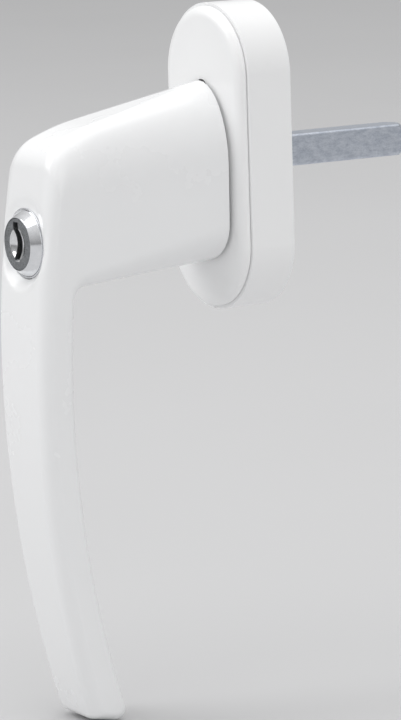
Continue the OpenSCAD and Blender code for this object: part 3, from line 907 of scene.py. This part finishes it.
    def build(self, finishes: FinishSet) -> None:
        """Models the casting and dresses it.

        Args:
            finishes: The handle's finishes.
        """
        rows = self._skin_rows()
        columns = len(rows[0])
        Bench.clear()
        bpy.ops.mesh.primitive_grid_add(x_subdivisions=columns - 1,
                                        y_subdivisions=len(rows) - 1, size=0.1)
        skin = Bench.settle("handle_casting")
        low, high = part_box("handle_body")
        limits = [(a / MM, b / MM) for a, b in zip(low, high)]
        flat = [min(max(c, a), b) * MM for row in rows for p in row
                for c, (a, b) in zip(self._sink(p), limits)]
        skin.data.vertices.foreach_set("co", flat)
        skin.data.update()
        end = -self.neck_face
        Bench.pick(skin, "EDGE", lambda p: abs(p.y - end) < 1e-4)
        bpy.ops.mesh.bridge_edge_loops()
        bpy.ops.mesh.select_all(action="DESELECT")
        bpy.ops.mesh.select_non_manifold()
        bpy.ops.mesh.fill_holes(sides=0)
        Bench.close_up(1e-7)
        self._bore(skin)
        install(skin, "handle_body", "handle", "white_enamel", finishes)

    def _bore(self, skin: bpy.types.Object) -> None:
        """Cuts the hub's seat, the lock's stepped bore and the pin's hole."""
        lock = self.lock_z
        slot_length = self.slot_front - self.slot_back
        slot_middle = (self.slot_front + self.slot_back) / 2
        tools = [Bench.rod("hub_seat", self.hub_radius, self.neck_face + self.hub_depth,
                           self.neck_face - 1.0)]
        tools += [bore.tool(lock) for bore in self.lock_bores]
        tools.append(Bench.block("key_slot", (self.slot_width, slot_length, 3.0),
                                 (0, -slot_middle, lock - self.slot_drop)))
        Bench.work(skin, tools)
        pin = Bench.bar("pin_hole", self.pin_radius, 20, (0, -self.pin_depth, lock - 12.0))
        Bench.work(skin, [pin])


# ---------------------------------------------------------------- rosette

@dataclass
class Rosette:
    """The plate on the sash: a base with pegs, and a cover that snaps over its screws."""

    width: float = 31.0
    height: float = 66.98
    draft: float = 0.5
    base_depth: float = 10.7
    cover_face: float = 12.7
    cover_step: float = 0.2
    round_across: float = 2.6
    round_deep: float = 1.7
    seam: float = 0.18
    seam_inset: float = 0.4
    screw_z: float = 21.5
    tab_z: float = 30.1
    centre_bores: tuple[Bore, ...] = (
        Bore("back_recess", 8.6, 2.6, -3.0), Bore("journal_bore", 5.86, 5.0, 0.0),
        Bore("cam_cavity", 9.7, 12.0, 4.4), Bore("flange_seat", 10.75, 12.0, 8.65))
    screw_bores: tuple[Bore, ...] = (
        Bore("screw_hole", 2.65, 12.0, -4.0), Bore("screw_head_seat", 4.35, 12.0, 4.2))
    bolt_socket: Bore = Bore("bolt_socket", 2.5, 12.0, 8.5)
    bolt_z: float = -LOCK_HEIGHT
    sides: int = 160

    def _stadium(self, name: str, width: float, height: float, back: float,
                 front: float, front_inset: float = 0.0) -> bpy.types.Object:
        """Models a straight-sided block with round ends.

        Args:
            name: The piece's name.
            width: Its width at the back.
            height: Its height at the back.
            back: Depth of its back.
            front: Depth of its front.
            front_inset: How far its outline draws in towards the front.

        Returns:
            The block.
        """
        Bench.clear()
        bpy.ops.mesh.primitive_circle_add(
            vertices=self.sides, radius=width / 2 * MM, fill_type="NGON",
            location=(0, -back * MM, 0), rotation=(math.pi / 2, 0, math.pi / self.sides))
        block = Bench.settle(name)
        reach = (height - width) / 2
        for side in (1, -1):
            Bench.pick(block, "VERT", lambda p, s=side: p.z * s > 1e-3 and abs(p.z) < width)
            bpy.ops.transform.translate(value=(0, 0, side * reach * MM))
            bpy.ops.object.mode_set(mode="OBJECT")
        Bench.pick(block, "FACE", lambda p: True)
        bpy.ops.mesh.extrude_region_move(
            TRANSFORM_OT_translate={"value": (0, -(front - back) * MM, 0)})
        bpy.ops.object.mode_set(mode="OBJECT")
        shrink = 1 - front_inset / (width / 2)
        if front_inset > 0:
            for side in (1, -1):
                Bench.pick(block, "VERT", lambda p, s=side: p.z * s > 0
                           and abs(p.y + front) < 1e-3)
                bpy.ops.transform.resize(
                    value=(shrink, 1, shrink),
                    center_override=(0, -front * MM, side * reach * MM))
                bpy.ops.object.mode_set(mode="OBJECT")
        Bench.pick(block, "FACE", lambda p: True)
        Bench.close_up(1e-7)
        return block

    def _round_front(self, block: bpy.types.Object, depth: float, radius: float,
                     segments: int) -> None:
        """Bevels the ring of edges that lies at one depth."""
        Bench.pick(block, "EDGE", lambda p: abs(p.y + depth) < 1e-3)
        bpy.ops.mesh.bevel(offset=radius * MM, segments=segments, affect="EDGES",
                           profile=0.5)
        bpy.ops.object.mode_set(mode="OBJECT")

    def _crown(self, cover: bpy.types.Object) -> None:
        """Rounds the cover's front by insetting its face along a quarter of an ellipse."""
        steps = 9
        front = self.cover_face - self.round_deep
        Bench.pick(cover, "FACE", lambda p: abs(p.y + front) < 1e-3)
        for k in range(steps):
            t0, t1 = (math.pi / 2 * i / steps for i in (k, k + 1))
            bpy.ops.mesh.inset(
                thickness=self.round_across * (math.cos(t0) - math.cos(t1)) * MM,
                depth=self.round_deep * (math.sin(t1) - math.sin(t0)) * MM,
                use_even_offset=True)
        bpy.ops.object.mode_set(mode="OBJECT")

    def build(self, finishes: FinishSet) -> None:
        """Models the base and the cover and dresses them."""
        for piece, node in ((self._base(), "rosette_base"), (self._cover(), "rosette_cover")):
            install(piece, node, "rosette", "white_cover", finishes)

    def _base(self) -> bpy.types.Object:
        """Models the base: drafted block, pegs, screw holes, recesses and cavities."""
        base = self._stadium("rosette_plate", self.width, self.height, 0.0,
                             self.base_depth, self.draft)
        self._round_front(base, self.base_depth, 0.3, 3)
        self._round_front(base, 0.0, 0.25, 2)
        for side in (1, -1):
            peg = Bench.rod("peg", 5.0, 1.0, -2.5, side * self.screw_z)
            Bench.soften(peg, 0.4, 2)
            Bench.work(base, [peg], Cut.ADD)
        tools = [bore.tool() for bore in self.centre_bores]
        for side in (1, -1):
            tools += [bore.tool(side * self.screw_z) for bore in self.screw_bores]
            tools += [
                self.bolt_socket.tool(side * self.bolt_z),
                Bench.block("tab_seat", (6.2, 4.0, 1.8), (0, -9.3, side * self.tab_z)),
                Bench.block("leaf_slot", (3.0, 4.15, 20.6), (side * 8.7, -6.475, 0)),
            ]
        Bench.work(base, tools)
        self._break_edges(base, lambda p: p.y > -0.01 and math.hypot(p.x, p.z) < 8.7, 0.2)
        return base

    def _break_edges(self, piece: bpy.types.Object, test: Callable[[Vector], bool],
                     width: float) -> None:
        """Takes the sharpness off the edges that a test picks."""
        Bench.pick(piece, "EDGE", test)
        bpy.ops.mesh.bevel(offset=width * MM, segments=2, affect="EDGES")
        bpy.ops.object.mode_set(mode="OBJECT")

    def _cover(self) -> bpy.types.Object:
        """Models the cover: rounded cap, seam step, snap tabs and holes."""
        drawn_in = 2 * (self.draft + self.cover_step)
        width, height = self.width - drawn_in, self.height - drawn_in
        back = self.base_depth + self.seam
        cover = self._stadium("rosette_cap", width, height, back,
                              self.cover_face - self.round_deep)
        self._crown(cover)
        self._round_front(cover, back, 0.05, 2)
        step = self._stadium("seam_step", width - 2 * self.seam_inset,
                             height - 2 * self.seam_inset, self.base_depth, back + 0.3)
        tabs = [Bench.block("tab", (6.0, 3.5, 1.6), (0, -9.25, side * self.tab_z))
                for side in (1, -1)]
        Bench.work(cover, [step, *tabs], Cut.ADD)
        tools = [Bench.rod("bush_hole", 9.55, 14.0, 9.0)]
        tools += [Bench.rod("bolt_hole", 2.55, 14.0, 9.0, side * self.bolt_z)
                  for side in (1, -1)]
        Bench.work(cover, tools)
        face = -self.cover_face
        self._break_edges(cover, lambda p: abs(p.y - face) < 1e-3
                          and abs(abs(p.z) - self.bolt_z) < 2.65 and abs(p.x) < 2.65, 0.25)
        return cover


# ---------------------------------------------------------------- lock

@dataclass
class KeyLock:
    """The lock in the front of the grip: trim ring, conical housing and keyed plug."""

    z: float = LOCK_HEIGHT
    face: float = 59.7
    ring_radius: float = 7.5
    ring_front: float = 57.6
    housing_radius: float = 6.5
    flank_radius: float = 7.1
    face_radius: float = 5.75
    plug_radius: float = 5.55
    housing_back: float = 41.4
    pin_radius: float = 1.275
    pin_inset: float = 2.6
    plug_back: float = 41.2
    neck_radius: float = 3.9
    neck_back: float = 39.0
    wafer_count: int = 5
    wafer_first: float = 4.2
    wafer_pitch: float = 2.6
    dish_radius: float = 3.35
    dish_depth: float = 0.95
    dish_steps: int = 14
    keyway_width: float = 2.05
    keyway_height: float = 7.8
    keyway_rise: float = 0.55

    def build(self, finishes: FinishSet) -> None:
        """Models the three pieces and dresses them."""
        for piece, node, body, slot in (
                (self._ring(), "lock_trim_ring", "handle", "chrome"),
                (self._housing(), "lock_housing", "handle", "chrome"),
                (self._plug(), "lock_plug", "plug", "lock_face")):
            install(piece, node, body, slot, finishes)
            if node == "lock_plug":
                self._polish_dish(piece, finishes["dish_polish"])

    def _ring(self) -> bpy.types.Object:
        """Turns the thin trim ring with rounded lips."""
        outer, inner = self.ring_radius, self.flank_radius + 0.05
        front, back = self.ring_front, self.ring_front - 0.55
        profile = [(inner, back), (outer, back), (outer, front - 0.1),
                   (outer - 0.03, front - 0.03), (outer - 0.1, front),
                   (inner + 0.1, front), (inner + 0.03, front - 0.03), (inner, front - 0.1)]
        return Bench.turned("trim_ring", profile, self.z, 128, closed=True)

    def _housing(self) -> bpy.types.Object:
        """Turns the housing: polished cone in front, long body behind, with its key lug."""
        bore, rim, front = self.plug_radius + 0.06, self.face_radius, self.face
        foot = self.ring_front + 0.12
        flank, seat = self.flank_radius, self.ring_front - 0.55
        profile = [(bore, self.housing_back), (bore, front - 0.05), (bore + 0.03, front),
                   (rim - 0.04, front), (rim, front - 0.04), (rim + 0.08, front - 0.15),
                   (flank - 0.08, foot + 0.12), (flank - 0.02, foot + 0.05), (flank, foot),
                   (flank, seat), (self.housing_radius, seat),
                   (self.housing_radius, self.housing_back)]
        housing = Bench.turned("lock_barrel", profile, self.z, 128, closed=True)
        lug = Bench.block("lug", (2.0, 14.65, 1.6),
                          (0, -(self.housing_back + 7.325), self.z - 6.6))
        Bench.work(housing, [lug], Cut.ADD)
        bottom, top = self.z - 20.0, self.z - self.plug_radius - 0.6
        pin = Bench.bar("pin_hole", self.pin_radius, top - bottom,
                        (0, -(self.housing_back + self.pin_inset), (top + bottom) / 2))
        Bench.work(housing, [pin])
        return housing

    def _plug(self) -> bpy.types.Object:
        """Turns the plug with its dished face, then cuts the keyway and wafer slots."""
        face = self.face - 0.05
        sphere = (self.dish_radius ** 2 + self.dish_depth ** 2) / (2 * self.dish_depth)
        dish = []
        for k in range(self.dish_steps + 1):
            radius = self.dish_radius * k / self.dish_steps
            dish.append((radius, face - self.dish_depth + sphere
                         - math.sqrt(sphere * sphere - radius * radius)))
        profile = dish + [(self.dish_radius + 0.1, face + 0.0), (self.plug_radius - 0.12, face),
                          (self.plug_radius, face - 0.12),
                          (self.plug_radius, self.plug_back), (self.neck_radius, self.plug_back),
                          (self.neck_radius, self.neck_back), (0.0, self.neck_back)]
        plug = Bench.turned("lock_core", profile, self.z, 128)
        Bench.work(plug, [self._key_slot(face)])
        tools = []
        for k in range(self.wafer_count):
            front = self.face - self.wafer_first - self.wafer_pitch * k
            middle = -(front - 0.45)
            tools.append(Bench.block("wafer_slot", (6.1, 1.0, 2 * self.plug_radius + 1),
                                     (0, middle, self.z)))
            tools.append(Bench.block("spring_seat", (1.0, 0.9, 2.5), (3.6, middle, self.z)))
        Bench.work(plug, tools)
        for end in (1, -1):
            Bench.work(plug, [self._lip(face, end)])
        return plug

    def _wave(self, height: float) -> float:
        """Returns how far the keyway stands off the middle at a height above its centre."""
        return -0.35 - 0.013 * height * (height + 1.0)

    def _key_slot(self, face: float) -> bpy.types.Object:
        """Models the keyway as a bar whose sides wave from end to end."""
        middle = self.z + self.keyway_rise
        slot = Bench.block("keyway", (self.keyway_width, 20.0, self.keyway_height),
                           (0, -(face + 1.0 - 10.0), middle))
        bpy.ops.object.mode_set(mode="EDIT")
        bpy.ops.mesh.select_all(action="SELECT")
        bpy.ops.mesh.subdivide(number_cuts=15)
        bpy.ops.object.mode_set(mode="OBJECT")
        for vertex in slot.data.vertices:
            vertex.co.x += self._wave(vertex.co.z / MM - middle) * MM
        return slot

    def _lip(self, face: float, end: int) -> bpy.types.Object:
        """Models the small slanted lead-in at one end of the keyway."""
        reach = self.keyway_height / 2
        place = self.z + self.keyway_rise + end * reach
        Bench.clear()
        width, side = (self.keyway_width, 0.4) if end > 0 else (self.keyway_width + 0.25, 0.6)
        bpy.ops.mesh.primitive_cube_add(
            size=1, scale=(width * MM, side * MM, side * MM),
            rotation=(math.radians(45), 0, 0),
            location=(self._wave(end * reach) * MM, -(face + 0.02) * MM, place * MM))
        return Bench.settle("key_lead_in")

    def _polish_dish(self, plug: bpy.types.Object, polish: bpy.types.Material) -> None:
        """Gives the dish and the keyway's lead-ins the polished finish."""
        plug.data.materials.append(polish)
        face = self.face - 0.05
        for side in plug.data.polygons:
            middle = side.center / MM
            away = math.hypot(middle.x, middle.z - self.z)
            slanted = 0.2 < abs(side.normal.z) < 0.95 and middle.y < -(face - 0.5)
            if (away < self.dish_radius and -middle.y > face - self.dish_depth - 0.05
                    and side.normal.y < -0.3) or (slanted and away > self.dish_radius
                                                  and away < self.plug_radius - 0.2):
                side.material_index = 1


# ---------------------------------------------------------------- spindle

@dataclass
class Spindle:
    """The square bar that turns the window's gear, with its turned end."""

    side: float = 7.0
    chamfer: float = 0.6
    inner: float = 20.1
    reach: float = 39.5
    pin_depth: float = 11.3
    pin_radius: float = 1.025

    def build(self, finishes: FinishSet) -> None:
        """Models the bar and dresses it."""
        bar = Bench.block("square_bar", (self.side, self.inner + self.reach, self.side),
                          (0, (self.reach - self.inner) / 2, 0))
        half = self.side / 2
        Bench.pick(bar, "EDGE", lambda p: True)
        bpy.ops.mesh.select_all(action="DESELECT")
        bpy.ops.object.mode_set(mode="OBJECT")
        for edge in bar.data.edges:
            a, b = (bar.data.vertices[i].co / MM for i in edge.vertices)
            edge.select = abs(a.y - b.y) > self.side and abs(abs(a.x) - half) < 1e-3
        bpy.ops.object.mode_set(mode="EDIT")
        bpy.ops.mesh.bevel(offset=self.chamfer * MM, offset_type="OFFSET", segments=3,
                           affect="EDGES", profile=0.42)
        bpy.ops.object.mode_set(mode="OBJECT")
        envelope = Bench.turned("turned_end", [
            (0.0, self.inner), (7.0, self.inner), (7.0, 2.5 - self.reach),
            (4.7, 2.5 - self.reach), (3.15, 0.3 - self.reach), (2.9, -self.reach),
            (0.0, -self.reach)], 0.0, 96)
        Bench.work(bar, [envelope], Cut.KEEP)
        Bench.soften(bar, 0.08, 2, 25.0)
        pin = Bench.bar("pin_hole", self.pin_radius, 2 * self.side,
                        (0, -self.pin_depth, 0), (0, math.pi / 2, 0))
        Bench.work(bar, [pin])
        install(bar, "square_spindle", "handle", "zinc_plate", finishes, 24.0)


# ---------------------------------------------------------------- studio

@dataclass
class Studio:
    """Camera, plain floor and soft lights."""

    azimuth: float = 58.235
    elevation: float = 9.658
    roll: float = -1.796
    place: tuple[float, float, float] = (643.74, -413.65, 84.32)
    lens: float = 175.0
    floor_z: float = -0.1203
    horizon: float = 0.30
    zenith: float = 0.95

    def build(self) -> None:
        """Makes the camera, the floor, the world and the lights."""
        self._camera()
        self._floor()
        self._lights()

    def _camera(self) -> None:
        """Places the camera and makes it the scene's."""
        a, e, r = (math.radians(v) for v in (self.azimuth, self.elevation, self.roll))
        back = Vector((math.sin(a) * math.cos(e), -math.cos(a) * math.cos(e), math.sin(e)))
        right = Vector((math.cos(a), math.sin(a), 0.0))
        up = back.cross(right)
        x_axis = right * math.cos(r) + up * math.sin(r)
        y_axis = up * math.cos(r) - right * math.sin(r)
        Bench.clear()
        bpy.ops.object.camera_add()
        camera = bpy.context.active_object
        camera.name = "studio_camera"
        turn = Matrix((x_axis, y_axis, back)).transposed().to_4x4()
        camera.matrix_world = Matrix.Translation(Vector(self.place) * MM) @ turn
        camera.data.lens = self.lens
        camera.data.sensor_width = 36.0
        camera.data.clip_start = 0.01
        camera.data.clip_end = 50.0
        bpy.context.scene.camera = camera

    def _floor(self) -> None:
        """Lays a wide pale floor just under the grip's tip."""
        Bench.clear()
        bpy.ops.mesh.primitive_plane_add(size=24.0, location=(0, 0, self.floor_z))
        floor = Bench.settle("studio_floor")
        paint = Paint("floor_paper")
        nodes = paint.nodes
        tone = nodes.noise(paint.where, 6.0, 2.0, 0.5)
        paint.feed("Base Color", nodes.blend(tone, (0.58, 0.58, 0.585), (0.56, 0.56, 0.565)))
        paint.set(Roughness=0.9, Specular_IOR_Level=0.1)
        floor.data.materials.append(paint.material)

    def _lights(self) -> None:
        """Sets a soft sky, brighter overhead than at the horizon, and the softboxes."""
        world = bpy.data.worlds.new("studio_world")
        world.use_nodes = True
        nodes = Nodes(world.node_tree)
        sky = world.node_tree.nodes["Background"]
        sky.inputs["Color"].default_value = (1, 1, 1, 1)
        parts = nodes.add("ShaderNodeSeparateXYZ")
        nodes.join(nodes.add("ShaderNodeTexCoord").outputs["Generated"], parts.inputs[0])
        nodes.join(nodes.spread(parts.outputs["Z"], self.horizon, self.zenith, 0.0, 1.0),
                   sky.inputs["Strength"])
        bpy.context.scene.world = world
        bpy.context.scene.view_settings.view_transform = "Standard"
        boxes = [
            ("front_softbox", (-0.9, -1.35, 1.15), 1.1, 1.4, 14.0),
            ("top_softbox", (0.1, -0.1, 1.6), 1.6, 1.6, 9.0),
            ("side_softbox", (1.7, -0.3, 0.5), 1.2, 1.4, 4.5),
        ]
        for name, place, width, height, power in boxes:
            Bench.clear()
            bpy.ops.object.light_add(type="AREA", location=place)
            light = bpy.context.active_object
            light.name = name
            light.data.shape = "RECTANGLE"
            light.data.size, light.data.size_y = width, height
            light.data.energy = power
            aim = Vector((0.0, -0.03, -0.03)) - Vector(place)
            light.rotation_mode = "QUATERNION"
            light.rotation_quaternion = aim.to_track_quat("-Z", "Y")


def main() -> None:
    """Builds every sub-assembly in order."""
    Bench.clear()
    Studio().build()
    finishes = FinishSet(LOCK_HEIGHT * MM)
    Rosette().build(finishes)
    Spindle().build(finishes)
    HandleCasting().build(finishes)
    KeyLock().build(finishes)
    replaced = {"rosette_base", "rosette_cover", "square_spindle", "handle_body",
                "lock_trim_ring", "lock_housing", "lock_plug"}
    finishes.dress_nodes(n for n in frame["nodes"] if n not in replaced)


if __name__ == "__main__":
    main()
